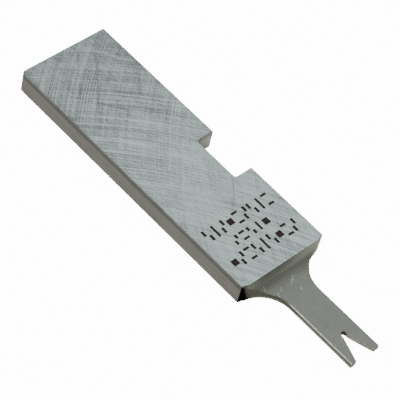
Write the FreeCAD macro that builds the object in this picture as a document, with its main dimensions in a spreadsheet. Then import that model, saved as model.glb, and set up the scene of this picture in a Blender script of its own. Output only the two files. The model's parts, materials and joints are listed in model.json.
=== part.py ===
import FreeCAD, Part
import math
import os
import Sketcher

# A one-piece crimp punch blade, wire cut and ground from a single tool steel blank.
# Frame: +X runs from the butt face to the forked nose, +Z stands out of the broad marked face,
# and the back face lies on Z = 0.  The origin is the middle of the overall length and width.

# ---------------------------------------------------------------- driving dimensions (mm)
DIMENSIONS = [
    # alias, value, what it is
    ("overall_length", 56.6, "butt face to nose tip"),
    ("shank_length", 41.8, "butt face to the end of the full-thickness shank"),
    ("shank_width", 14.0, "across the two long edges"),
    ("shank_thickness", 3.2, "back face to marked face"),
    ("corner_radius", 0.75, "rounded corner between the butt face and the plain long edge"),
    ("notch_start", 21.45, "butt face to the near wall of the locating notch"),
    ("notch_length", 7.1, "along the blade"),
    ("notch_depth", 2.8, "in from the notched long edge"),
    ("notch_radius", 0.4, "inner corners of the notch"),
    ("tongue_width", 4.8, "across the nose tongue"),
    ("tongue_thickness", 0.95, "back face to the stepped face of the tongue"),
    ("shoulder_radius", 4.4, "plan fillet from the shank end into the tongue side"),
    ("facet_angle", 10.26, "between the shoulder fillet and the facet that meets it, degrees"),
    ("facet_drop", 0.944, "long edge in to where the facet meets the shoulder fillet"),
    ("facet_overlap", 0.1, "how far the facet's cut runs on past the fillet"),
    ("step_radius", 2.05, "concave fillet from the shank end down to the tongue face"),
    ("slot_width", 0.86, "parallel part of the fork"),
    ("slot_depth", 4.1, "nose tip back to the root of the fork"),
    ("flare_length", 3.55, "nose tip back to where the fork starts to open"),
    ("flare_radius", 1.2, "bend from the parallel slot into the flare"),
    ("flare_angle", 19.0, "half angle of the flare, degrees"),
    ("edge_break", 0.12, "stoned chamfer on the outline edges"),
    ("tongue_edge_break", 0.11, "stoned chamfer on the two long edges of the tongue face"),
    ("mark_depth", 0.04, "laser engraving below the marked face"),
    ("mark_stroke", 0.34, "width of one engraved stroke"),
    ("mark_gap", 0.14, "between the two squares of a stepped mark, both ways"),
    ("mark_pitch", 1.26, "from one mark to the next, across the blade"),
    ("mark_width", 0.92, "one mark, across the blade"),
    ("mark_height", 1.9, "one mark of the two tall rows, along the blade"),
    ("mark_small_height", 1.4, "one mark of the middle row, along the blade"),
    ("rear_row_setback", 9.3, "shank end back to the far side of the rear row"),
    ("middle_row_setback", 6.6, "shank end back to the far side of the middle row"),
    ("front_row_setback", 4.4, "shank end back to the far side of the front row"),
    ("overcut", 2.0, "how far a cutting sketch runs past the steel"),
]

# The three engraved rows: setback, height, and the plain strokes of each mark, in order.
# They are neutral tally marks.  None of them is a letter or a number.
MARK_ROWS = {
    "rear": ("rear_row_setback", "mark_height",
             ["falling", "bar", "rising", "block", "pair", "rising", "falling", "bar", "pair"]),
    "middle": ("middle_row_setback", "mark_small_height",
               ["rising", "pair", "falling", "bar", "block"]),
    "front": ("front_row_setback", "mark_height",
              ["block", "rising", "pair", "falling", "bar", "falling", "block", "pair", "rising"]),
}

TOLERANCE = 1e-4


def make_sheet(doc):
    """Write the driving dimensions into the spreadsheet that every feature reads."""
    sheet = doc.addObject("Spreadsheet::Sheet", "dims")
    for row, (alias, value, note) in enumerate(DIMENSIONS, start=1):
        sheet.set("A%d" % row, alias)
        sheet.set("B%d" % row, str(value))
        sheet.set("C%d" % row, note)
        sheet.setAlias("B%d" % row, alias)
    doc.recompute()
    return sheet


def origin_plane(body, role):
    """Find one of the body's own base planes."""
    for feature in body.Origin.OriginFeatures:
        if feature.Role == role:
            return feature
    raise RuntimeError("the body has no plane " + role)


def new_sketch(body, name, role):
    """Start a sketch on one of the body's base planes."""
    sketch = body.newObject("Sketcher::SketchObject", name)
    sketch.AttachmentSupport = [(origin_plane(body, role), "")]
    sketch.MapMode = "FlatFace"
    return sketch


def point(x, y):
    return FreeCAD.Vector(x, y, 0)


def add_line(sketch, start, end):
    return sketch.addGeometry(Part.LineSegment(point(*start), point(*end)), False)


def add_arc(sketch, centre, radius, from_degrees, to_degrees):
    circle = Part.Circle(point(*centre), FreeCAD.Vector(0, 0, 1), radius)
    arc = Part.ArcOfCircle(circle, math.radians(from_degrees), math.radians(to_degrees))
    return sketch.addGeometry(arc, False)


def join(sketch, first, first_end, second, second_end):
    sketch.addConstraint(Sketcher.Constraint("Coincident", first, first_end, second, second_end))


def join_tangent(sketch, first, first_end, second, second_end):
    sketch.addConstraint(Sketcher.Constraint("Tangent", first, first_end, second, second_end))


def upright(sketch, line):
    sketch.addConstraint(Sketcher.Constraint("Vertical", line))


def level(sketch, line):
    sketch.addConstraint(Sketcher.Constraint("Horizontal", line))


def place(sketch, kind, name, geometry, end, value, expression):
    """Hold a point at a distance from the sketch origin that the sheet gives."""
    constraint = Sketcher.Constraint(kind, -1, 1, geometry, end, value)
    index = sketch.addConstraint(constraint)
    sketch.renameConstraint(index, name)
    sketch.setExpression("Constraints." + name, expression)


def set_radius(sketch, name, arc, value, expression):
    index = sketch.addConstraint(Sketcher.Constraint("Radius", arc, value))
    sketch.renameConstraint(index, name)
    sketch.setExpression("Constraints." + name, expression)


def set_angle(sketch, name, line, value, expression):
    index = sketch.addConstraint(Sketcher.Constraint("Angle", line, value))
    sketch.renameConstraint(index, name)
    sketch.setExpression("Constraints." + name, expression)


START, END, CENTRE = 1, 2, 3


def pad_blank(body, sheet):
    """The bar that the blade is cut from."""
    sketch = new_sketch(body, "blank_outline", "XY_Plane")
    long_side = sheet.overall_length
    half = sheet.shank_width / 2
    near = add_line(sketch, (0, -half), (long_side, -half))
    nose = add_line(sketch, (long_side, -half), (long_side, half))
    far = add_line(sketch, (long_side, half), (0, half))
    butt = add_line(sketch, (0, half), (0, -half))
    for first, second in ((near, nose), (nose, far), (far, butt), (butt, near)):
        join(sketch, first, END, second, START)
    for line in (near, far):
        level(sketch, line)
    upright(sketch, butt)
    sketch.addConstraint(Sketcher.Constraint("PointOnObject", butt, START, -2))
    place(sketch, "DistanceX", "nose_x", nose, END, long_side, "dims.overall_length")
    place(sketch, "DistanceY", "far_y", nose, END, half, "dims.shank_width / 2")
    sketch.addConstraint(Sketcher.Constraint("Symmetric", nose, START, nose, END, -1))
    pad = body.newObject("PartDesign::Pad", "blank")
    pad.Profile = sketch
    pad.setExpression("Length", "dims.shank_thickness")
    return pad


def cut_through(body, name, sketch):
    """Cut a sketch right through the steel, whichever way its plane faces."""
    pocket = body.newObject("PartDesign::Pocket", name)
    pocket.Profile = sketch
    pocket.Type = "ThroughAll"
    pocket.Midplane = True
    return pocket


def mirror_across(body, name, cut):
    """Repeat a cut on the other long edge."""
    mirrored = body.newObject("PartDesign::Mirrored", name)
    mirrored.Originals = [cut]
    mirrored.MirrorPlane = (origin_plane(body, "XZ_Plane"), [""])
    body.Tip = mirrored
    return mirrored


def cut_tongue_sides(body, sheet):
    """Narrow the nose to the tongue, with a fillet at the shoulder, on both sides."""
    sketch = new_sketch(body, "tongue_side_outline", "XY_Plane")
    shank = sheet.shank_length
    side = sheet.tongue_width / 2
    radius = sheet.shoulder_radius
    beyond_x = sheet.overall_length + sheet.overcut
    beyond_y = sheet.shank_width / 2 + sheet.overcut
    shank_end = add_line(sketch, (shank, beyond_y), (shank, side + radius))
    fillet = add_arc(sketch, (shank + radius, side + radius), radius, 180, 270)
    tongue_side = add_line(sketch, (shank + radius, side), (beyond_x, side))
    past_nose = add_line(sketch, (beyond_x, side), (beyond_x, beyond_y))
    past_edge = add_line(sketch, (beyond_x, beyond_y), (shank, beyond_y))
    join_tangent(sketch, shank_end, END, fillet, START)
    join_tangent(sketch, fillet, END, tongue_side, START)
    join(sketch, tongue_side, END, past_nose, START)
    join(sketch, past_nose, END, past_edge, START)
    join(sketch, past_edge, END, shank_end, START)
    for line in (shank_end, past_nose):
        upright(sketch, line)
    for line in (tongue_side, past_edge):
        level(sketch, line)
    place(sketch, "DistanceX", "shank_x", shank_end, START, shank, "dims.shank_length")
    place(sketch, "DistanceY", "side_y", tongue_side, END, side, "dims.tongue_width / 2")
    place(sketch, "DistanceX", "past_x", past_nose, END, beyond_x,
          "dims.overall_length + dims.overcut")
    place(sketch, "DistanceY", "past_y", past_nose, END, beyond_y,
          "dims.shank_width / 2 + dims.overcut")
    set_radius(sketch, "shoulder", fillet, radius, "dims.shoulder_radius")
    pocket = cut_through(body, "tongue_side", sketch)
    return mirror_across(body, "tongue_sides", pocket)


def cut_end_facets(body, sheet):
    """Cut a narrow slanted facet off both corners of the shank end, down to the shoulder fillet."""
    sketch = new_sketch(body, "end_facet_outline", "XY_Plane")
    radius = sheet.shoulder_radius
    meet_y = sheet.shank_width / 2 - sheet.facet_drop
    turned = math.asin((sheet.tongue_width / 2 + radius - meet_y) / radius)
    meet_x = sheet.shank_length + radius * (1 - math.cos(turned))
    slant = math.radians(float(sheet.facet_angle)) + turned
    foot_x = meet_x + sheet.facet_overlap
    foot_y = meet_y - sheet.facet_overlap / math.tan(slant)
    beyond_x = sheet.shank_length + radius + sheet.overcut
    beyond_y = sheet.shank_width / 2 + sheet.overcut
    head_x = meet_x - (beyond_y - meet_y) * math.tan(slant)
    meeting = sketch.addGeometry(Part.Point(point(meet_x, meet_y)), True)
    facet = add_line(sketch, (foot_x, foot_y), (head_x, beyond_y))
    past_edge = add_line(sketch, (head_x, beyond_y), (beyond_x, beyond_y))
    past_end = add_line(sketch, (beyond_x, beyond_y), (beyond_x, foot_y))
    foot = add_line(sketch, (beyond_x, foot_y), (foot_x, foot_y))
    for first, second in ((facet, past_edge), (past_edge, past_end), (past_end, foot),
                          (foot, facet)):
        join(sketch, first, END, second, START)
    for line in (past_edge, foot):
        level(sketch, line)
    upright(sketch, past_end)
    sketch.addConstraint(Sketcher.Constraint("PointOnObject", meeting, START, facet))
    below_fillet = ("(dims.tongue_width / 2 + dims.shoulder_radius - dims.shank_width / 2"
                    " + dims.facet_drop)")
    on_fillet = ("dims.shank_length + dims.shoulder_radius - sqrt(dims.shoulder_radius ^ 2 - "
                 + below_fillet + " ^ 2)")
    place(sketch, "DistanceX", "meet_x", meeting, START, meet_x, on_fillet)
    place(sketch, "DistanceY", "meet_y", meeting, START, meet_y,
          "dims.shank_width / 2 - dims.facet_drop")
    place(sketch, "DistanceX", "foot_x", facet, START, foot_x,
          on_fillet + " + dims.facet_overlap")
    place(sketch, "DistanceX", "past_x", past_end, START, beyond_x,
          "dims.shank_length + dims.shoulder_radius + dims.overcut")
    place(sketch, "DistanceY", "past_y", past_end, START, beyond_y,
          "dims.shank_width / 2 + dims.overcut")
    set_angle(sketch, "slant", facet, math.pi / 2 + slant,
              "90 deg + dims.facet_angle * 1 deg + asin(" + below_fillet + " / dims.shoulder_radius)")
    pocket = cut_through(body, "end_facet", sketch)
    return mirror_across(body, "end_facets", pocket)


def rough_step(body, sheet):
    """Thin the nose square, as far back as the foot of the concave step."""
    sketch = new_sketch(body, "rough_step_profile", "XZ_Plane")
    foot_x = sheet.shank_length + sheet.step_radius
    low = sheet.tongue_thickness
    beyond_x = sheet.overall_length + sheet.overcut
    beyond_z = sheet.shank_thickness + sheet.overcut
    wall = add_line(sketch, (foot_x, beyond_z), (foot_x, low))
    tongue_face = add_line(sketch, (foot_x, low), (beyond_x, low))
    past_nose = add_line(sketch, (beyond_x, low), (beyond_x, beyond_z))
    past_face = add_line(sketch, (beyond_x, beyond_z), (foot_x, beyond_z))
    for first, second in ((wall, tongue_face), (tongue_face, past_nose),
                          (past_nose, past_face), (past_face, wall)):
        join(sketch, first, END, second, START)
    for line in (wall, past_nose):
        upright(sketch, line)
    for line in (tongue_face, past_face):
        level(sketch, line)
    place(sketch, "DistanceX", "foot_x", wall, START, foot_x,
          "dims.shank_length + dims.step_radius")
    place(sketch, "DistanceY", "face_z", tongue_face, END, low, "dims.tongue_thickness")
    place(sketch, "DistanceX", "past_x", past_nose, END, beyond_x,
          "dims.overall_length + dims.overcut")
    place(sketch, "DistanceY", "past_z", past_nose, END, beyond_z,
          "dims.shank_thickness + dims.overcut")
    return cut_through(body, "rough_step", sketch)


def cut_step(body, sheet):
    """Finish the step from the marked face down to the tongue as a concave hollow."""
    sketch = new_sketch(body, "step_profile", "XZ_Plane")
    shank = sheet.shank_length
    low = sheet.tongue_thickness
    radius = sheet.step_radius
    beyond_x = sheet.overall_length + sheet.overcut
    beyond_z = sheet.shank_thickness + sheet.overcut
    wall = add_line(sketch, (shank, beyond_z), (shank, low + radius))
    hollow = add_arc(sketch, (shank + radius, low + radius), radius, 180, 270)
    tongue_face = add_line(sketch, (shank + radius, low), (beyond_x, low))
    past_nose = add_line(sketch, (beyond_x, low), (beyond_x, beyond_z))
    past_face = add_line(sketch, (beyond_x, beyond_z), (shank, beyond_z))
    join_tangent(sketch, wall, END, hollow, START)
    join_tangent(sketch, hollow, END, tongue_face, START)
    join(sketch, tongue_face, END, past_nose, START)
    join(sketch, past_nose, END, past_face, START)
    join(sketch, past_face, END, wall, START)
    for line in (wall, past_nose):
        upright(sketch, line)
    for line in (tongue_face, past_face):
        level(sketch, line)
    place(sketch, "DistanceX", "shank_x", wall, START, shank, "dims.shank_length")
    place(sketch, "DistanceY", "face_z", tongue_face, END, low, "dims.tongue_thickness")
    place(sketch, "DistanceX", "past_x", past_nose, END, beyond_x,
          "dims.overall_length + dims.overcut")
    place(sketch, "DistanceY", "past_z", past_nose, END, beyond_z,
          "dims.shank_thickness + dims.overcut")
    set_radius(sketch, "hollow", hollow, radius, "dims.step_radius")
    return cut_through(body, "step", sketch)


def cut_notch(body, sheet):
    """The locating notch in one long edge, with rounded inner corners."""
    sketch = new_sketch(body, "notch_outline", "XY_Plane")
    first = sheet.notch_start
    last = sheet.notch_start + sheet.notch_length
    floor = sheet.shank_width / 2 - sheet.notch_depth
    radius = sheet.notch_radius
    beyond = sheet.shank_width / 2 + sheet.overcut
    rear_wall = add_line(sketch, (first, beyond), (first, floor + radius))
    rear_round = add_arc(sketch, (first + radius, floor + radius), radius, 180, 270)
    base = add_line(sketch, (first + radius, floor), (last - radius, floor))
    front_round = add_arc(sketch, (last - radius, floor + radius), radius, 270, 360)
    front_wall = add_line(sketch, (last, floor + radius), (last, beyond))
    mouth = add_line(sketch, (last, beyond), (first, beyond))
    join_tangent(sketch, rear_wall, END, rear_round, START)
    join_tangent(sketch, rear_round, END, base, START)
    join_tangent(sketch, base, END, front_round, START)
    join_tangent(sketch, front_round, END, front_wall, START)
    join(sketch, front_wall, END, mouth, START)
    join(sketch, mouth, END, rear_wall, START)
    for line in (rear_wall, front_wall):
        upright(sketch, line)
    for line in (base, mouth):
        level(sketch, line)
    sketch.addConstraint(Sketcher.Constraint("Equal", rear_round, front_round))
    place(sketch, "DistanceX", "first_x", rear_wall, START, first, "dims.notch_start")
    place(sketch, "DistanceX", "last_x", front_wall, END, last,
          "dims.notch_start + dims.notch_length")
    place(sketch, "DistanceY", "floor_y", base, START, floor,
          "dims.shank_width / 2 - dims.notch_depth")
    place(sketch, "DistanceY", "mouth_y", mouth, END, beyond,
          "dims.shank_width / 2 + dims.overcut")
    set_radius(sketch, "corner", rear_round, radius, "dims.notch_radius")
    return cut_through(body, "notch", sketch)


def cut_fork(body, sheet):
    """The fork: a round-rooted slot that bends open into a straight flare at the nose."""
    sketch = new_sketch(body, "fork_outline", "XY_Plane")
    root_radius = sheet.slot_width / 2
    root_x = sheet.overall_length - sheet.slot_depth + root_radius
    bend_x = sheet.overall_length - sheet.flare_length
    bend_y = root_radius + sheet.flare_radius
    angle = float(sheet.flare_angle)
    slope = math.radians(angle)
    leave_x = bend_x + sheet.flare_radius * math.sin(slope)
    leave_y = bend_y - sheet.flare_radius * math.cos(slope)
    beyond_x = sheet.overall_length + sheet.overcut
    beyond_y = leave_y + (beyond_x - leave_x) * math.tan(slope)
    root = add_arc(sketch, (root_x, 0), root_radius, 90, 270)
    far_slot = add_line(sketch, (root_x, root_radius), (bend_x, root_radius))
    far_bend = add_arc(sketch, (bend_x, bend_y), sheet.flare_radius, 270, 270 + angle)
    far_flare = add_line(sketch, (leave_x, leave_y), (beyond_x, beyond_y))
    past_nose = add_line(sketch, (beyond_x, beyond_y), (beyond_x, -beyond_y))
    near_flare = add_line(sketch, (beyond_x, -beyond_y), (leave_x, -leave_y))
    near_bend = add_arc(sketch, (bend_x, -bend_y), sheet.flare_radius, 90 - angle, 90)
    near_slot = add_line(sketch, (bend_x, -root_radius), (root_x, -root_radius))
    join_tangent(sketch, root, START, far_slot, START)
    join_tangent(sketch, far_slot, END, far_bend, START)
    join_tangent(sketch, far_bend, END, far_flare, START)
    join(sketch, far_flare, END, past_nose, START)
    join(sketch, past_nose, END, near_flare, START)
    join_tangent(sketch, near_flare, END, near_bend, START)
    join_tangent(sketch, near_bend, END, near_slot, START)
    join_tangent(sketch, near_slot, END, root, END)
    level(sketch, far_slot)
    sketch.addConstraint(Sketcher.Constraint("Symmetric", past_nose, START, past_nose, END, -1))
    sketch.addConstraint(Sketcher.Constraint("Symmetric", far_slot, END, near_slot, START, -1))
    sketch.addConstraint(Sketcher.Constraint("Equal", far_bend, near_bend))
    place(sketch, "DistanceX", "root_x", root, CENTRE, root_x,
          "dims.overall_length - dims.slot_depth + dims.slot_width / 2")
    place(sketch, "DistanceX", "bend_x", far_slot, END, bend_x,
          "dims.overall_length - dims.flare_length")
    place(sketch, "DistanceX", "past_x", past_nose, START, beyond_x,
          "dims.overall_length + dims.overcut")
    set_radius(sketch, "root", root, root_radius, "dims.slot_width / 2")
    set_radius(sketch, "bend", far_bend, sheet.flare_radius, "dims.flare_radius")
    set_angle(sketch, "flare", far_flare, slope, "dims.flare_angle * 1 deg")
    return cut_through(body, "fork", sketch)


def edge_names(shape, chosen):
    return ["Edge%d" % (i + 1) for i, edge in enumerate(shape.Edges) if chosen(edge)]


def lies_at(edge, height):
    """Whether an edge lies in the level plane at this height."""
    box = edge.BoundBox
    return abs(box.ZMin - height) < TOLERANCE and abs(box.ZMax - height) < TOLERANCE


def round_corner(body, sheet):
    """Round the upright corner between the butt face and the plain long edge."""
    base = body.Tip
    half = sheet.shank_width / 2

    def butt_corner(edge):
        box = edge.BoundBox
        return box.XMax < TOLERANCE and abs(box.YMax + half) < TOLERANCE and box.ZLength > TOLERANCE

    fillet = body.newObject("PartDesign::Fillet", "butt_corner")
    fillet.Base = (base, edge_names(base.Shape, butt_corner))
    fillet.setExpression("Radius", "dims.corner_radius")
    return fillet


def break_outline(body, sheet):
    """Stone a small chamfer round the back face outline and the marked face outline."""
    base = body.Tip
    top = sheet.shank_thickness
    shank_end = sheet.shank_length

    def outline(edge):
        on_back = lies_at(edge, 0)
        on_marked_face = lies_at(edge, top) and edge.BoundBox.XMin < shank_end - TOLERANCE
        return on_back or on_marked_face

    chamfer = body.newObject("PartDesign::Chamfer", "outline_break")
    chamfer.Base = (base, edge_names(base.Shape, outline))
    chamfer.setExpression("Size", "dims.edge_break")
    return chamfer


def break_tongue(body, sheet):
    """Stone a small chamfer along the tongue face's long edges, into the shoulders."""
    base = body.Tip
    low = sheet.tongue_thickness
    side = sheet.tongue_width / 2

    def long_edge(edge):
        box = edge.BoundBox
        is_side = box.YLength < TOLERANCE and abs(abs(box.YMax) - side) < TOLERANCE
        return is_side and lies_at(edge, low)

    chamfer = body.newObject("PartDesign::Chamfer", "tongue_break")
    chamfer.Base = (base, edge_names(base.Shape, long_edge))
    chamfer.setExpression("Size", "dims.tongue_edge_break")
    return chamfer


def mark_strokes(kind, height):
    """The strokes of one mark: start and size along the blade, then start and size across it."""
    stroke = "dims.mark_stroke"
    width = "dims.mark_width"
    half_length = "(%s - dims.mark_gap) / 2" % height
    half_width = "(dims.mark_width - dims.mark_gap) / 2"
    front = "(%s + dims.mark_gap) / 2" % height
    far = "(dims.mark_width + dims.mark_gap) / 2"
    return {
        "falling": [("0", half_length, "0", half_width), (front, half_length, far, half_width)],
        "rising": [("0", half_length, far, half_width), (front, half_length, "0", half_width)],
        "pair": [("0", stroke, "0", width), ("(%s - %s)" % (height, stroke), stroke, "0", width)],
        "bar": [("0", height, "(%s - %s) / 2" % (width, stroke), stroke)],
        "block": [("(%s - %s) / 2" % (height, width), width, "0", width)],
    }[kind]


def make_marks(doc):
    """All the engraved strokes as one tool, standing from the engraving's floor upwards."""
    strokes = []
    for row, (setback, height, kinds) in MARK_ROWS.items():
        rear_x = "dims.shank_length - dims.overall_length / 2 - dims.%s" % setback
        for place_in_row, kind in enumerate(kinds):
            from_middle = place_in_row - (len(kinds) - 1) / 2
            near_y = "%s * dims.mark_pitch - dims.mark_width / 2" % from_middle
            for start_x, size_x, start_y, size_y in mark_strokes(kind, "dims." + height):
                name = "%s_%d_stroke_%d" % (row, place_in_row + 1, len(strokes) + 1)
                box = doc.addObject("Part::Box", name)
                box.setExpression("Length", size_x)
                box.setExpression("Width", size_y)
                box.setExpression("Height", "dims.mark_depth + dims.overcut")
                box.setExpression("Placement.Base.x", "%s + %s" % (rear_x, start_x))
                box.setExpression("Placement.Base.y", "%s + %s" % (near_y, start_y))
                box.setExpression("Placement.Base.z", "dims.shank_thickness - dims.mark_depth")
                strokes.append(box)
    tool = doc.addObject("Part::MultiFuse", "mark_tool")
    tool.Shapes = strokes
    tool.Refine = True
    return tool


def engrave(doc, body):
    """Cut the laser engraving into the marked face of the finished steel."""
    blade = doc.addObject("Part::Cut", "punch_blade")
    blade.Label = "punch_blade"
    blade.Base = body
    blade.Tool = make_marks(doc)
    doc.recompute()
    if blade.Shape.isNull() or blade.Shape.Volume >= body.Shape.Volume:
        raise RuntimeError("the engraving takes no steel away")
    return blade


def build_steel(doc, sheet):
    """Cut the plain steel, checking that every cut really takes some of it away."""
    body = doc.addObject("PartDesign::Body", "ground_steel")
    pad_blank(body, sheet)
    doc.recompute()
    volume = body.Shape.Volume
    for cut in (cut_tongue_sides, cut_end_facets, rough_step, break_tongue, cut_step, cut_notch,
                cut_fork, round_corner, break_outline):
        feature = cut(body, sheet)
        doc.recompute()
        if feature.Shape.isNull() or feature.Shape.Volume >= volume:
            raise RuntimeError(feature.Name + " takes no steel away")
        volume = feature.Shape.Volume
    body.setExpression("Placement.Base.x", "-dims.overall_length / 2")
    doc.recompute()
    return body


def check(doc, blade):
    """Stop if any object failed or the blade is not one sound solid."""
    for item in doc.Objects:
        if "Invalid" in item.State or "Error" in item.State:
            raise RuntimeError(item.Name + " failed: " + ", ".join(item.State))
    shape = blade.Shape
    if shape.isNull() or not shape.isValid() or len(shape.Solids) != 1:
        raise RuntimeError(blade.Label + " is not one sound solid")


def main():
    doc = FreeCAD.newDocument("punch_blade")
    sheet = make_sheet(doc)
    blade = engrave(doc, build_steel(doc, sheet))
    check(doc, blade)
    os.makedirs("parts", exist_ok=True)
    blade.Shape.exportStep("parts/%s.step" % blade.Label)
    box = blade.Shape.BoundBox
    print(blade.Label, "size", round(box.XLength, 3), round(box.YLength, 3), round(box.ZLength, 3))
    print(blade.Label, "volume", round(blade.Shape.Volume, 2))


main()
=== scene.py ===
import json
import math

import bpy
from mathutils import Matrix, Vector

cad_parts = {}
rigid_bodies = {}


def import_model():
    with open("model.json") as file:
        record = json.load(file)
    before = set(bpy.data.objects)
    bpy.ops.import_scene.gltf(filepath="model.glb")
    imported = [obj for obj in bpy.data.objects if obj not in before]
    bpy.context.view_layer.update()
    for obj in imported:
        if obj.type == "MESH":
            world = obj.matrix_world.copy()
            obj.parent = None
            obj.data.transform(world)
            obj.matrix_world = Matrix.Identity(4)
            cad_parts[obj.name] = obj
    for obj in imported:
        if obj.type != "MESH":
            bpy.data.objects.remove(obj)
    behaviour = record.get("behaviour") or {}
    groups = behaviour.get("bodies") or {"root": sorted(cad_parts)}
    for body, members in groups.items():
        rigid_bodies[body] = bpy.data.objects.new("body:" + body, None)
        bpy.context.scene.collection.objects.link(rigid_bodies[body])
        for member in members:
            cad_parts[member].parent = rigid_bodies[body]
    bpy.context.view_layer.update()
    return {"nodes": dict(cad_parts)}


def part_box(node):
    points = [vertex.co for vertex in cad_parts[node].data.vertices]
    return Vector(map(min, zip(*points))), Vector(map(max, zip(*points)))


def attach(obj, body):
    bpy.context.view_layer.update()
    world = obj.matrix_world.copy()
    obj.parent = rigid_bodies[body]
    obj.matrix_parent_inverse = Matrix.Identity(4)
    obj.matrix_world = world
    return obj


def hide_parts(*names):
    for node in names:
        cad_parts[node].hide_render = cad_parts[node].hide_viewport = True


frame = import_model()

bl_info = {
    "name": "Crimp Punch Blade",
    "version": (1, 0, 0),
    "blender": (4, 5, 0),
    "location": "3D View > Sidebar > Blade",
    "description": "Finishes a ground tool-steel punch blade with a forked nose and sets it on a pale stage",
    "category": "Object",
}

MM = 0.001
NODE = "punch_blade"
BODY = "root"
PIECE = "finished_blade"

# Where the parts of the blade lie, in metres from the middle of its back face.
BLADE_LOW, BLADE_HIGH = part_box(NODE)
MARKED_Z = BLADE_HIGH.z
HALF_WIDTH = BLADE_HIGH.y
SHANK_END = BLADE_LOW.x + 41.8 * MM
FACET_START = SHANK_END - 0.4 * MM
FACET_FOOT_Y = HALF_WIDTH - 1.0 * MM
NOTCH_FLOOR_Y = HALF_WIDTH - 2.9 * MM
HOLLOW_END = SHANK_END + 2.1 * MM
FORK_ROOT_X = BLADE_HIGH.x - 3.9 * MM
BACK_LIGHT = (-0.45, 0.35, 0.82)
MARKS_LOW = Vector((3.4 * MM, -5.9 * MM))
MARKS_HIGH = Vector((11.8 * MM, 5.9 * MM))
MARK_FLOOR_LOW = MARKED_Z - 0.045 * MM
MARK_FLOOR_HIGH = MARKED_Z - 0.005 * MM
FORK_ROOT = (FORK_ROOT_X - 0.2 * MM, 0.05 * MM, 0.4 * MM)
WELD_DISTANCE = 0.0005 * MM

# How far a face leans before it counts as level, or as a broken edge.
LEVEL_LEAN = 0.99
BREAK_LEAN = 0.25

# The stage: heights, colours and places.
FLOOR_Z = -0.02 * MM
CARD_Z = -0.04 * MM
# The card's colours paint the floor's reflection: dim where the blade's shade falls, brighter beyond, and a
# painted shadow pool.
CARD_DIM = (0.345, 0.34, 0.315, 1.0)
CARD_BRIGHT = (0.62, 0.62, 0.57, 1.0)
CARD_SHADOW_POOL = 0.03
ROOM_DIM = (0.26, 0.255, 0.24, 1.0)
ROOM_BRIGHT = (0.66, 0.70, 0.71, 1.0)
LAMP_PLACE = (-0.19, -0.38, 0.26)
LAMP_SIZE = (0.16, 0.10)
LAMP_POWER = 0.26
CAMERA_PLACE = (0.0916, -0.1292, 0.1884)
CAMERA_BACK = (0.376, -0.5244, 0.7639)
CAMERA_UP = (-0.643, 0.446, 0.6227)


# ---------------------------------------------------------------- settings

def length(name, description, default):
    return bpy.props.FloatProperty(
        name=name, description=description, default=default, min=0.0, unit="LENGTH", precision=5)


def colour(name, description, default):
    return bpy.props.FloatVectorProperty(
        name=name, description=description, default=default, size=3, min=0.0, max=1.0, subtype="COLOR")


class BLADE_PG_finish(bpy.types.PropertyGroup):
    """Colours and grain sizes of the steel."""

    face_tone: colour("Ground face", "Steel of the cross-ground faces", (0.60, 0.675, 0.66))
    edge_tone: colour("Long edges", "Steel of the lengthwise-ground edges", (0.575, 0.57, 0.535))
    tongue_tone: colour("Tongue", "Satin steel of the tongue", (0.385, 0.395, 0.345))
    wall_tone: colour("Cut walls", "Steel of the profile-cut walls", (0.55, 0.54, 0.47))
    break_tone: colour("Tongue edges", "Bright steel of the tongue's broken edges", (0.38, 0.40, 0.39))
    dull_tone: colour("Shank edges", "Dull steel of the shank's broken edges", (0.30, 0.31, 0.28))
    facet_tone: colour("End facets", "Steel of the slanted facets at the shank end", (0.55, 0.54, 0.48))
    mark_tone: colour("Marks", "Burnt floor of the laser marks", (0.030, 0.022, 0.016))
    scratch_width: length("Scratch width", "Width of a grinding line across its run", 0.17 * MM)
    scratch_run: length("Scratch run", "Length over which a grinding line lasts", 26.0 * MM)
    scratch_bow: length("Scratch bow", "Radius of the grinding lines", 70.0 * MM)
    smooth_angle: bpy.props.FloatProperty(
        name="Smooth angle", description="Edges flatter than this shade smooth",
        default=math.radians(24.0), subtype="ANGLE")


class BLADE_PG_stage(bpy.types.PropertyGroup):
    """The floor, the lights and the camera."""

    floor_size: length("Floor size", "Side of the square floor", 3.0)
    floor_light: bpy.props.FloatProperty(
        name="Floor light", description="How brightly the floor is lit through", default=14.0, min=0.0)
    room_light: bpy.props.FloatProperty(
        name="Room light", description="Strength of the even light of the room", default=1.0, min=0.0)
    camera_lens: bpy.props.FloatProperty(
        name="Lens", description="Focal length in millimetres", default=177.72, min=1.0,
        subtype="DISTANCE_CAMERA")


# ---------------------------------------------------------------- node drawing

def put(tree, kind, values=None, **settings):
    """Adds a node, sets its settings, and links or fills its inputs."""
    node = tree.nodes.new(kind)
    for name, value in settings.items():
        setattr(node, name, value)
    for key, value in (values or {}).items():
        socket = node.inputs[key]
        if isinstance(value, bpy.types.NodeSocket):
            tree.links.new(value, socket)
        else:
            socket.default_value = value
    return node


def start_material(name):
    """A new material with a metal shader and the blade's own coordinates."""
    material = bpy.data.materials.new(name)
    material.use_nodes = True
    tree = material.node_tree
    shader = tree.nodes["Principled BSDF"]
    shader.inputs["Metallic"].default_value = 1.0
    where = put(tree, "ShaderNodeTexCoord").outputs["Object"]
    return material, tree, shader, where


def laid(tree, where, size, turn=0.0, centre=(0.0, 0.0, 0.0)):
    """Coordinates that count in pattern sizes along and across a direction turned in plan."""
    return put(
        tree, "ShaderNodeMapping",
        {"Vector": where, "Location": centre, "Rotation": (0.0, 0.0, turn), "Scale": size},
        vector_type="TEXTURE").outputs["Vector"]


def noise(tree, where, detail=2.0, rough=0.5, warp=0.0):
    return put(
        tree, "ShaderNodeTexNoise",
        {"Vector": where, "Scale": 1.0, "Detail": detail, "Roughness": rough, "Distortion": warp},
    ).outputs["Fac"]


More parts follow.
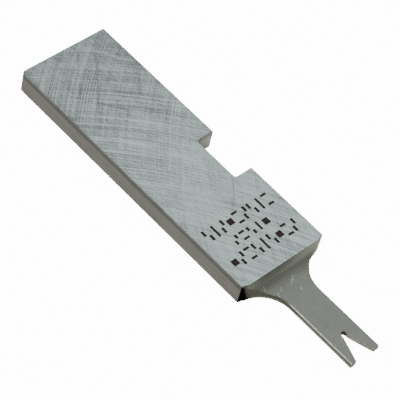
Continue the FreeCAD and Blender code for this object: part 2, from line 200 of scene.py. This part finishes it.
def spread(tree, value, low, high, to_low=0.0, to_high=1.0, soft=False):
    """Maps a value from one range to another and holds it there."""
    return put(
        tree, "ShaderNodeMapRange",
        {"Value": value, "From Min": low, "From Max": high, "To Min": to_low, "To Max": to_high},
        interpolation_type="SMOOTHSTEP" if soft else "LINEAR").outputs["Result"]


def reckon(tree, what, *values, hold=False):
    node = put(tree, "ShaderNodeMath", {i: v for i, v in enumerate(values)}, operation=what)
    node.use_clamp = hold
    return node.outputs["Value"]


def blend_colours(tree, part, one, other):
    node = put(tree, "ShaderNodeMix", data_type="RGBA")
    for key, value in ((0, part), (6, one), (7, other)):
        if isinstance(value, bpy.types.NodeSocket):
            tree.links.new(value, node.inputs[key])
        else:
            node.inputs[key].default_value = value
    return node.outputs[2]


def blend_values(tree, part, one, other):
    node = put(tree, "ShaderNodeMix", data_type="FLOAT")
    for key, value in ((0, part), (2, one), (3, other)):
        tree.links.new(value, node.inputs[key])
    return node.outputs[0]


def toned(tone, by, warmth=0.0):
    """A tone made lighter or darker, and warmer or cooler."""
    red, green, blue = tone
    return (
        min(1.0, red * by * (1.0 + warmth)), min(1.0, green * by), min(1.0, blue * by * (1.0 - warmth)), 1.0)


def finish_with(tree, shader, tint, rough, height, depth):
    """Wires colour, roughness and relief into the shader."""
    bump = put(tree, "ShaderNodeBump", {"Height": height, "Distance": depth, "Strength": 1.0})
    tree.links.new(tint, shader.inputs["Base Color"])
    tree.links.new(rough, shader.inputs["Roughness"])
    tree.links.new(bump.outputs["Normal"], shader.inputs["Normal"])


# ---------------------------------------------------------------- finishes

DEEP_LINES = (
    # start x, start y, end x, end y, width: bundles of deeper grinding lines, in millimetres
    (-26.6, 4.2, -16.2, -4.0, 0.55),
    (-28.2, 2.4, -20.0, -3.9, 0.35),
    (-21.0, 6.8, -16.0, 2.6, 0.40),
    (-23.5, -6.0, -14.0, 1.6, 0.30),
    (-12.0, 0.2, -4.6, 6.0, 0.35),
    (-1.5, 5.6, 5.0, -0.6, 0.45),
)
LIGHT_LINES = (
    (-14.8, -5.4, -3.2, 2.8, 0.55),
    (-12.9, -5.7, -6.0, 0.2, 0.30),
    (-27.8, 1.9, -21.0, 6.8, 0.50),
    (-25.4, 0.6, -22.0, -2.6, 0.45),
    (-0.6, -6.3, 5.2, -2.1, 0.45),
    (-9.0, 3.6, -1.0, -3.4, 0.30),
    (3.0, -2.8, 11.6, 5.0, 0.30),
)
# Small nicks on the step and the tongue, painted as bright glints, in the same form.
NICKS = (
    (14.6, 0.95, 15.3, 0.35, 0.20),
    (14.9, 0.45, 15.5, -0.05, 0.14),
    (16.4, 0.60, 16.85, 0.40, 0.20),
    (14.9, -1.45, 15.7, -1.90, 0.12),
    (15.4, -2.45, 16.1, -2.65, 0.16),
    (13.9, -3.60, 14.6, -3.75, 0.14),
)


def arced(tree, where, run, wide, turn, bow):
    """Coordinates along and across lines that bow slightly, as a wide wheel leaves them."""
    placed = laid(tree, where, (run, run, run), turn)
    parts = put(tree, "ShaderNodeSeparateXYZ", {"Vector": placed})
    rise = reckon(tree, "MULTIPLY", reckon(tree, "POWER", parts.outputs["X"], 2.0), run / (2.0 * bow))
    across = reckon(tree, "MULTIPLY", reckon(tree, "ADD", parts.outputs["Y"], rise), run / wide)
    return put(tree, "ShaderNodeCombineXYZ", {"X": parts.outputs["X"], "Y": across}).outputs["Vector"]


def ground_face(name, tone, settings):
    """Steel ground by a cup wheel: crossing lines, broad streaks, patches, and a few deeper lines."""
    material, tree, shader, where = start_material(name)
    run, wide, bow = settings.scratch_run, settings.scratch_width, settings.scratch_bow
    rise, fall = math.radians(38.0), math.radians(-37.0)
    rising = noise(tree, arced(tree, where, run, wide, rise, bow), 3.0, 0.60)
    falling = noise(tree, arced(tree, where, run * 0.8, wide * 0.9, fall, -bow), 3.0, 0.60)
    broad_rise = noise(tree, arced(tree, where, run * 1.6, wide * 5.0, rise, bow), 2.0)
    broad_fall = noise(tree, arced(tree, where, run * 1.4, wide * 4.2, fall, -bow), 2.0)
    patches = noise(tree, laid(tree, where, (5.5 * MM, 4.0 * MM, 1.0)), 4.0, 0.6)
    grit = noise(tree, laid(tree, where, (0.16 * MM, 0.16 * MM, 1.0)), 2.0, 0.6)
    mottle = noise(tree, laid(tree, where, (1.1 * MM, 0.34 * MM, 1.0), 0.12), 3.0, 0.6)
    parts = put(tree, "ShaderNodeSeparateXYZ", {"Vector": where})
    leaning = noise(tree, laid(tree, where, (9.0 * MM, 6.0 * MM, 1.0), 0.4, (0.0, 0.0, 1.0)))
    leaning = reckon(tree, "ADD", spread(tree, leaning, 0.36, 0.60, -0.14, 0.14), spread(
        tree, parts.outputs["X"], BLADE_LOW.x + 3.0 * MM, BLADE_LOW.x + 15.0 * MM, 0.56, 0.28, True))
    fine = blend_values(tree, leaning, rising, falling)
    streaks = blend_values(tree, leaning, broad_rise, broad_fall)
    level = reckon(tree, "MULTIPLY", fine, 0.44)
    level = reckon(tree, "MULTIPLY_ADD", streaks, 0.11, level)
    level = reckon(tree, "MULTIPLY_ADD", patches, 0.13, level)
    level = reckon(tree, "MULTIPLY_ADD", mottle, 0.12, level)
    level = reckon(tree, "MULTIPLY_ADD", grit, 0.20, level)
    level = spread(tree, level, 0.435, 0.568)
    level = reckon(tree, "MULTIPLY_ADD", line_bundles(tree, where, DEEP_LINES), -0.50, level)
    level = reckon(tree, "MULTIPLY_ADD", line_bundles(tree, where, LIGHT_LINES), 0.50, level)
    # Painted sheen: the face grows lighter towards the shank end.
    level = reckon(tree, "ADD", level, spread(
        tree, parts.outputs["X"], BLADE_LOW.x + 2.0 * MM, SHANK_END - 12.0 * MM, -0.12, 0.25, True))
    # Painted shade: the face darkens towards its long sides.
    from_middle = reckon(tree, "ABSOLUTE", parts.outputs["Y"])
    rim = spread(tree, from_middle, HALF_WIDTH - 0.9 * MM, HALF_WIDTH, 0.0, -0.14)
    level = reckon(tree, "ADD", level, rim, hold=True)
    tint = blend_colours(tree, level, toned(tone, 0.44, 0.025), toned(tone, 1.46, -0.01))
    rough = spread(tree, level, 0.0, 1.0, 0.46, 0.32)
    finish_with(tree, shader, tint, rough, level, 0.006 * MM)
    return material


def line_bundles(tree, where, bundles):
    """The strongest of several bundles of straight lines."""
    found = None
    for x0, y0, x1, y1, width in bundles:
        one = line_bundle(tree, where, (x0 * MM, y0 * MM), (x1 * MM, y1 * MM), width * MM)
        found = one if found is None else reckon(tree, "MAXIMUM", found, one)
    return found


def line_bundle(tree, where, start, end, width):
    """Up to 1 on a bundle of fine lines between two points, fading at its ends and sides."""
    run = Vector(end) - Vector(start)
    placed = laid(tree, where, (run.length, width, 1.0), math.atan2(run.y, run.x), (start[0], start[1], 0.0))
    parts = put(tree, "ShaderNodeSeparateXYZ", {"Vector": placed})
    hairs = put(tree, "ShaderNodeMapping", {"Vector": placed, "Scale": (1.6, 4.5, 0.0)}).outputs["Vector"]
    hairs = spread(tree, noise(tree, hairs, 2.0), 0.42, 0.62)
    side = spread(tree, reckon(tree, "ABSOLUTE", parts.outputs["Y"]), 0.15, 1.0, 1.0, 0.0, True)
    middle = reckon(tree, "ABSOLUTE", reckon(tree, "SUBTRACT", parts.outputs["X"], 0.5))
    ends = spread(tree, middle, 0.2, 0.5, 1.0, 0.0, True)
    return reckon(tree, "MULTIPLY", reckon(tree, "MULTIPLY", side, ends), hairs)


def grained(name, tone, size, rough, contrast, depth, shade=None, patch=(3.0 * MM, 3.0 * MM, 1.5 * MM)):
    """Steel with a fine grain that runs one way, slow changes of tone, and its own shading by place."""
    material, tree, shader, where = start_material(name)
    lines = noise(tree, laid(tree, where, size), 3.0, 0.6, 0.05)
    slow = noise(tree, laid(tree, where, patch), 2.0)
    level = reckon(tree, "MULTIPLY_ADD", lines, 0.65, reckon(tree, "MULTIPLY", slow, 0.35))
    level = spread(tree, level, 0.34, 0.66)
    tint = blend_colours(tree, level, toned(tone, 1.0 - contrast), toned(tone, 1.0 + contrast))
    if shade:
        tint = shade(tree, where, tint, tone)
    finish_with(tree, shader, tint, spread(tree, level, 0.0, 1.0, rough + 0.05, rough - 0.05), level, depth)
    return material


def shade_edge(tree, where, tint, tone):
    """A darker band along the top of the long edges, wavering a little in height."""
    height = put(tree, "ShaderNodeSeparateXYZ", {"Vector": where}).outputs["Z"]
    waver = noise(tree, laid(tree, where, (6.0 * MM, 6.0 * MM, 0.4 * MM)), 2.0)
    height = reckon(tree, "MULTIPLY_ADD", waver, 0.5 * MM, height)
    band = spread(tree, height, 2.65 * MM, 2.95 * MM, 0.0, 0.75, True)
    return blend_colours(tree, band, tint, toned(tone, 0.52))


def shade_hollow(tree, where, tint, tone):
    """Painted light just under the step's edge, easing to the tongue's tone, with small nicks painted as
    bright glints.
    """
    along = put(tree, "ShaderNodeSeparateXYZ", {"Vector": where}).outputs["X"]
    # Painted light: the hollow is lightened just under the step's edge.
    under = spread(tree, along, SHANK_END, SHANK_END + 0.5 * MM, 1.0, 0.0, True)
    tint = blend_colours(tree, under, tint, toned(tone, 1.50, -0.04))
    return shade_nicks(tree, where, tint, tone)


def shade_nicks(tree, where, tint, tone):
    """Small nicks on the step and the tongue, painted as bright glints."""
    nicks = line_bundles(tree, where, NICKS)
    return blend_colours(tree, nicks, tint, toned(tone, 3.0))


def shade_wall(tree, where, tint, tone):
    """Painted shade on the outer walls, dull above and clean below on the plain side, and a painted shadow
    at the root of the fork.
    """
    parts = put(tree, "ShaderNodeSeparateXYZ", {"Vector": where})
    # Painted shade: the upper part of the outer walls on the plain side is darkened.
    outer = spread(tree, parts.outputs["Y"], -2.2 * MM, -2.0 * MM, 1.0, 0.0)
    upper = spread(tree, parts.outputs["Z"], 0.28 * MM, 0.62 * MM, 0.0, 0.85, True)
    tint = blend_colours(tree, reckon(tree, "MULTIPLY", outer, upper), tint, toned(tone, 0.42, 0.04))
    # Painted shadow at the root of the fork.
    root = put(tree, "ShaderNodeVectorMath", {0: where, 1: FORK_ROOT}, operation="DISTANCE")
    root_shadow = spread(tree, root.outputs["Value"], 0.45 * MM, 0.85 * MM, 1.0, 0.0, True)
    tint = blend_colours(tree, root_shadow, tint, toned(tone, 0.12, 0.1))
    specks = noise(tree, laid(tree, where, (0.30 * MM, 0.30 * MM, 0.22 * MM)), 2.0)
    specks = spread(tree, specks, 0.55, 0.64, 0.0, 0.70)
    return blend_colours(tree, specks, tint, toned(tone, 0.28))


def shade_facet(tree, where, tint, tone):
    """Painted shade darkens the facet nearly black on the plain side, and leaves it clean on the notched
    side.
    """
    across = put(tree, "ShaderNodeSeparateXYZ", {"Vector": where}).outputs["Y"]
    painted_facet_shade = spread(tree, across, -0.1 * MM, 0.1 * MM, 1.0, 0.0)
    return blend_colours(tree, painted_facet_shade, tint, toned(tone, 0.42, 0.10))


def burnt_mark(name, tone):
    """The dark, slightly brown floor that a laser leaves."""
    material, tree, shader, where = start_material(name)
    shader.inputs["Metallic"].default_value = 0.25
    soot = noise(tree, laid(tree, where, (0.22 * MM, 0.22 * MM, 0.22 * MM)), 3.0, 0.6)
    level = spread(tree, soot, 0.35, 0.65)
    tint = blend_colours(tree, level, toned(tone, 0.6), toned(tone, 1.9, 0.2))
    finish_with(tree, shader, tint, spread(tree, level, 0.0, 1.0, 0.75, 0.55), level, 0.004 * MM)
    return material


def blade_materials(settings):
    """Every finish of the blade, by name, in slot order."""
    hair = 0.09 * MM
    short = (0.8 * MM, 0.3 * MM, 0.3 * MM)
    lengthwise = (7.0 * MM, hair * 3, hair)
    crosswise = (hair, 5.0 * MM, hair)
    satin = (0.4 * MM, 0.14 * MM, 0.4 * MM)
    upright = (0.14 * MM, 0.14 * MM, 2.5 * MM)
    tongue_tone = settings.tongue_tone
    # name, tone, grain, roughness, contrast, relief, shading by place
    return [
        ground_face("ground_face", settings.face_tone, settings),
        grained("ground_edge", settings.edge_tone, lengthwise, 0.36, 0.16, 0.002 * MM, shade_edge),
        grained("step_hollow", tongue_tone, crosswise, 0.50, 0.10, 0.001 * MM, shade_hollow),
        grained("satin_tongue", tongue_tone, satin, 0.42, 0.07, 0.001 * MM, shade_nicks),
        grained("cut_wall", settings.wall_tone, upright, 0.34, 0.22, 0.004 * MM, shade_wall),
        grained("bright_break", settings.break_tone, short, 0.28, 0.14, 0.002 * MM),
        grained("dull_break", settings.dull_tone, short, 0.60, 0.16, 0.003 * MM),
        burnt_mark("laser_mark", settings.mark_tone),
        grained("end_facet", settings.facet_tone, short, 0.14, 0.14, 0.001 * MM, shade_facet),
    ]


FACE, EDGE, HOLLOW, TONGUE, WALL, BRIGHT, DULL, MARK, FACET = range(9)


def finish_of(centre, normal):
    """Which finish a face has, from where it lies and which way it faces."""
    in_marks = MARKS_LOW.x < centre.x < MARKS_HIGH.x and MARKS_LOW.y < centre.y < MARKS_HIGH.y
    if in_marks and MARK_FLOOR_LOW < centre.z < MARK_FLOOR_HIGH:
        return MARK
    if abs(normal.z) > LEVEL_LEAN:
        return TONGUE if 0.5 * MM < centre.z < 2.0 * MM else FACE
    in_hollow = SHANK_END - 0.01 * MM < centre.x < HOLLOW_END
    if in_hollow and abs(normal.y) < 0.1 and normal.z > 0.0:
        return HOLLOW
    if abs(normal.z) > BREAK_LEAN:
        if abs(normal.x) > 0.5 and NOTCH_FLOOR_Y < centre.y < HALF_WIDTH - 0.2 * MM:
            return FACE
        return BRIGHT if centre.x > SHANK_END + 0.5 * MM and normal.z > 0.0 else DULL
    at_corner = FACET_START < centre.x < SHANK_END + 0.07 * MM and abs(centre.y) > FACET_FOOT_Y
    if at_corner and 0.2 < normal.x < 0.97:
        return FACET
    return EDGE if centre.x < SHANK_END + 0.01 * MM else WALL


# ---------------------------------------------------------------- building

def only(piece):
    """Leaves just this piece selected and active."""
    bpy.ops.object.select_all(action="DESELECT")
    piece.select_set(True)
    bpy.context.view_layer.objects.active = piece


class BLADE_OT_finish(bpy.types.Operator):
    """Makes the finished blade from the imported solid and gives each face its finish"""

    bl_idname = "blade.finish"
    bl_label = "Finish blade"

    def execute(self, context):
        settings = context.scene.blade_finish
        only(frame["nodes"][NODE])
        bpy.ops.object.duplicate()
        piece = context.view_layer.objects.active
        bpy.ops.object.parent_clear(type="CLEAR_KEEP_TRANSFORM")
        piece.name = piece.data.name = PIECE
        for key in [k for k in piece.keys() if k.startswith("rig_")]:
            del piece[key]
        bpy.ops.object.mode_set(mode="EDIT")
        bpy.ops.mesh.select_all(action="SELECT")
        bpy.ops.mesh.remove_doubles(threshold=WELD_DISTANCE)
        bpy.ops.object.mode_set(mode="OBJECT")
        bpy.ops.mesh.customdata_custom_splitnormals_clear()
        piece.data.materials.clear()
        for material in blade_materials(settings):
            piece.data.materials.append(material)
        for face in piece.data.polygons:
            face.material_index = finish_of(face.center, face.normal)
        bpy.ops.object.shade_smooth_by_angle(angle=settings.smooth_angle)
        weigh = piece.modifiers.new("flat_faces", "WEIGHTED_NORMAL")
        weigh.keep_sharp = True
        weigh.weight = 100
        bpy.ops.object.modifier_apply(modifier=weigh.name)
        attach(piece, BODY)
        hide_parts(NODE)
        return {"FINISHED"}


def add_plane(name, size, height):
    bpy.ops.object.select_all(action="DESELECT")
    bpy.ops.mesh.primitive_plane_add(size=size, location=(0.0, 0.0, height))
    plane = bpy.context.view_layer.objects.active
    bpy.ops.object.transform_apply(location=True, rotation=True, scale=True)
    plane.name = name
    return plane


def card_material():
    """A card that only the steel mirrors, a painted reflection of the floor: dim with the blade's shade on
    the plain side, lighter past the notched side, with a painted shadow pool at the shoulder.
    """
    material = bpy.data.materials.new("mirror_card")
    material.use_nodes = True
    tree = material.node_tree
    tree.nodes.clear()
    where = put(tree, "ShaderNodeTexCoord").outputs["Object"]
    parts = put(tree, "ShaderNodeSeparateXYZ", {"Vector": where})
    along, across = parts.outputs["X"], parts.outputs["Y"]
    beyond = spread(tree, across, 6.2 * MM, 8.0 * MM, 0.0, 1.0, True)
    ahead = spread(tree, along, 17.5 * MM, 21.0 * MM, 0.0, 0.60, True)
    bright = reckon(tree, "MAXIMUM", beyond, ahead)
    tint = blend_colours(tree, bright, CARD_DIM, CARD_BRIGHT)
    # Painted shadow: outside these clear bands the card darkens to a pool by the shoulder.
    clear_y = reckon(
        tree, "ADD", spread(tree, across, -5.7 * MM, -5.1 * MM, 0.0, 1.0, True),
        spread(tree, across, -24.0 * MM, -18.0 * MM, 1.0, 0.0, True))
    clear_x = reckon(
        tree, "ADD", spread(tree, along, 20.0 * MM, 26.0 * MM, 0.0, 1.0, True),
        spread(tree, along, 12.8 * MM, 13.2 * MM, 1.0, 0.0, True))
    dark = spread(tree, reckon(tree, "MAXIMUM", clear_x, clear_y, hold=True), 0.0, 1.0, CARD_SHADOW_POOL, 1.0)
    light = put(tree, "ShaderNodeEmission", {"Color": tint, "Strength": dark})
    out = put(tree, "ShaderNodeOutputMaterial")
    tree.links.new(light.outputs["Emission"], out.inputs["Surface"])
    return material


def add_light(name, place, size, power):
    """A soft panel light that faces the blade."""
    bpy.ops.object.select_all(action="DESELECT")
    bpy.ops.object.light_add(type="AREA", location=place)
    lamp = bpy.context.view_layer.objects.active
    lamp.name = lamp.data.name = name
    lamp.data.shape = "RECTANGLE"
    lamp.data.size, lamp.data.size_y = size
    lamp.data.energy = power
    lamp.rotation_euler = Vector(place).to_track_quat("Z", "Y").to_euler()


class BLADE_OT_stage(bpy.types.Operator):
    """Sets the floor, the room light, the edge light and the camera"""

    bl_idname = "blade.stage"
    bl_label = "Set stage"

    def execute(self, context):
        settings = context.scene.blade_stage
        self.lay_floor(settings)
        self.light_room(context, settings)
        self.place_camera(context, settings)
        return {"FINISHED"}

    def lay_floor(self, settings):
        """A pale floor, and under it a card that only the steel mirrors."""
        floor = add_plane("floor", settings.floor_size, FLOOR_Z)
        floor.visible_glossy = False
        floor.visible_diffuse = False
        material = bpy.data.materials.new("pale_floor")
        material.use_nodes = True
        shader = material.node_tree.nodes["Principled BSDF"]
        shader.inputs["Base Color"].default_value = (0.9, 0.9, 0.9, 1.0)
        shader.inputs["Roughness"].default_value = 1.0
        shader.inputs["Emission Color"].default_value = (1.0, 1.0, 1.0, 1.0)
        shader.inputs["Emission Strength"].default_value = settings.floor_light
        floor.data.materials.append(material)
        card = add_plane("mirror_card", settings.floor_size, CARD_Z)
        card.visible_camera = False
        card.visible_diffuse = False
        card.visible_shadow = False
        card.data.materials.append(card_material())

    def light_room(self, context, settings):
        world = bpy.data.worlds.new("room")
        context.scene.world = world
        world.use_nodes = True
        tree = world.node_tree
        background = tree.nodes["Background"]
        where = put(tree, "ShaderNodeTexCoord").outputs["Generated"]
        behind = put(tree, "ShaderNodeVectorMath", {0: where, 1: BACK_LIGHT}, operation="DOT_PRODUCT")
        glow = spread(tree, behind.outputs["Value"], 0.05, 1.0, 0.0, 1.0, True)
        tint = blend_colours(tree, glow, ROOM_DIM, ROOM_BRIGHT)
        tree.links.new(tint, background.inputs["Color"])
        background.inputs["Strength"].default_value = settings.room_light
        add_light("edge_light", LAMP_PLACE, LAMP_SIZE, LAMP_POWER)

    def place_camera(self, context, settings):
        data = bpy.data.cameras.new("view")
        camera = bpy.data.objects.new("view", data)
        context.scene.collection.objects.link(camera)
        data.lens = settings.camera_lens
        data.sensor_width = 36.0
        data.clip_start = 0.01
        back = Vector(CAMERA_BACK).normalized()
        right = Vector(CAMERA_UP).cross(back).normalized()
        turn = Matrix((right, back.cross(right), back)).transposed()
        camera.matrix_world = Matrix.Translation(CAMERA_PLACE) @ turn.to_4x4()
        context.scene.camera = camera


class BLADE_PT_panel(bpy.types.Panel):
    """The blade's settings and steps."""

    bl_label = "Punch Blade"
    bl_idname = "BLADE_PT_panel"
    bl_space_type = "VIEW_3D"
    bl_region_type = "UI"
    bl_category = "Blade"

    def draw(self, context):
        for group in (context.scene.blade_finish, context.scene.blade_stage):
            for name in group.__annotations__:
                self.layout.prop(group, name)
        for step in STEPS:
            self.layout.operator(step.bl_idname)


GROUPS = {"blade_finish": BLADE_PG_finish, "blade_stage": BLADE_PG_stage}
STEPS = (BLADE_OT_finish, BLADE_OT_stage)
CLASSES = (*GROUPS.values(), *STEPS, BLADE_PT_panel)


def register():
    for cls in CLASSES:
        bpy.utils.register_class(cls)
    for name, group in GROUPS.items():
        setattr(bpy.types.Scene, name, bpy.props.PointerProperty(type=group))


def unregister():
    for name in GROUPS:
        delattr(bpy.types.Scene, name)
    for cls in reversed(CLASSES):
        bpy.utils.unregister_class(cls)


def main():
    register()
    bpy.ops.blade.finish()
    bpy.ops.blade.stage()


if __name__ == "__main__":
    main()
